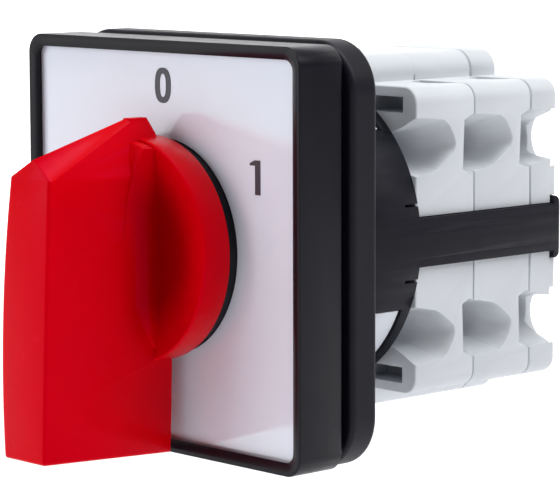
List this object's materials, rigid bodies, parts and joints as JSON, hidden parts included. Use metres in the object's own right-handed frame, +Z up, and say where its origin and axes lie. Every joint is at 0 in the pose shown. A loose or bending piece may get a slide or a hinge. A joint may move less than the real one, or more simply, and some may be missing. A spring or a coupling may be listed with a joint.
{
  "type": "cam switch",
  "caption": "Panel cam switch with a square front, red pointer knob, latching drum and stacked grey contact chambers.",
  "frame": {"origin": "on the shaft axis, on the panel face that the rear frame seats on", "axes": "+X right seen from the front, +Y into the panel along the shaft, +Z up"},
  "size_m": [0.0488, 0.0689, 0.0488],
  "materials": {
    "bezel_black": "fine satin",
    "frame_black": "fine satin",
    "drum_black": "satin",
    "legend_white": "gloss",
    "seal_rubber": "matt",
    "knob_red": "gloss",
    "zinc_steel": "zinc plated",
    "spring_steel": "drawn wire",
    "pale_plastic": "satin",
    "white_nylon": "satin",
    "housing_grey": "satin",
    "cam_black": "satin",
    "silver_contact": "silver",
    "contact_brass": "stamped"
  },
  "bodies": {
    "switch_body": {"bezel_frame": "bezel_black", "contact_chamber_1": "housing_grey", "contact_chamber_2": "housing_grey", "contact_spring_lower_1": "spring_steel", "contact_spring_lower_2": "spring_steel", "contact_spring_upper_1": "spring_steel", "contact_spring_upper_2": "spring_steel", "detent_housing": "pale_plastic", "detent_spring_left": "spring_steel", "detent_spring_right": "spring_steel", "fixed_contact_lower_left_1": "contact_brass", "fixed_contact_lower_left_2": "contact_brass", "fixed_contact_lower_right_1": "contact_brass", "fixed_contact_lower_right_2": "contact_brass", "fixed_contact_upper_left_1": "contact_brass", "fixed_contact_upper_left_2": "contact_brass", "fixed_contact_upper_right_1": "contact_brass", "fixed_contact_upper_right_2": "contact_brass", "fixed_tips": "silver_contact", "legend_plate": "legend_white", "mounting_drum": "drum_black", "neck_bush": "frame_black", "panel_gasket": "seal_rubber", "rear_cover": "housing_grey", "rear_frame": "frame_black", "ring_nut": "frame_black", "shaft_seal": "seal_rubber", "terminal_screws": "zinc_steel", "tie_screws": "zinc_steel", "wire_saddle_lower_left_1": "zinc_steel", "wire_saddle_lower_left_2": "zinc_steel", "wire_saddle_lower_right_1": "zinc_steel", "wire_saddle_lower_right_2": "zinc_steel", "wire_saddle_upper_left_1": "zinc_steel", "wire_saddle_upper_left_2": "zinc_steel", "wire_saddle_upper_right_1": "zinc_steel", "wire_saddle_upper_right_2": "zinc_steel"},
    "contact_upper_1": {"plunger_upper_1": "white_nylon", "contact_bridge_upper_1": "contact_brass", "moving_tips_upper_1": "silver_contact"},
    "contact_lower_1": {"plunger_lower_1": "white_nylon", "contact_bridge_lower_1": "contact_brass", "moving_tips_lower_1": "silver_contact"},
    "contact_upper_2": {"plunger_upper_2": "white_nylon", "contact_bridge_upper_2": "contact_brass", "moving_tips_upper_2": "silver_contact"},
    "contact_lower_2": {"plunger_lower_2": "white_nylon", "contact_bridge_lower_2": "contact_brass", "moving_tips_lower_2": "silver_contact"},
    "rotor": {"cam_shaft": "zinc_steel", "knob": "knob_red", "star_wheel": "white_nylon", "cam_1": "cam_black", "cam_2": "cam_black"}
  },
  "joints": [
    {"name": "rotor_turn", "type": "hinge", "parent": "switch_body", "child": "rotor", "pos_m": [0, 0, 0], "axis": [0, 1, 0], "range_deg": [0, 60], "deforming": ["detent_spring_right", "detent_spring_left"]},
    {"name": "contact_slide_upper_1", "type": "slide", "parent": "switch_body", "child": "contact_upper_1", "axis": [0, 0, 1], "range_m": [-0.002, 0], "deforming": ["contact_spring_upper_1"]},
    {"name": "contact_slide_lower_1", "type": "slide", "parent": "switch_body", "child": "contact_lower_1", "axis": [0, 0, -1], "range_m": [-0.00202, 0], "deforming": ["contact_spring_lower_1"]},
    {"name": "contact_slide_upper_2", "type": "slide", "parent": "switch_body", "child": "contact_upper_2", "axis": [0, 0, 1], "range_m": [-0.00202, 0], "deforming": ["contact_spring_upper_2"]},
    {"name": "contact_slide_lower_2", "type": "slide", "parent": "switch_body", "child": "contact_lower_2", "axis": [0, 0, -1], "range_m": [-0.00202, 0], "deforming": ["contact_spring_lower_2"]}
  ],
  "couplings": [
    {"joint": "rotor_turn", "follows": "contact_slide_upper_1", "rad_per_m": -523.6},
    {"joint": "contact_slide_lower_1", "follows": "contact_slide_upper_1", "ratio": 1},
    {"joint": "contact_slide_upper_2", "follows": "contact_slide_upper_1", "ratio": 1},
    {"joint": "contact_slide_lower_2", "follows": "contact_slide_upper_1", "ratio": 1}
  ]
}
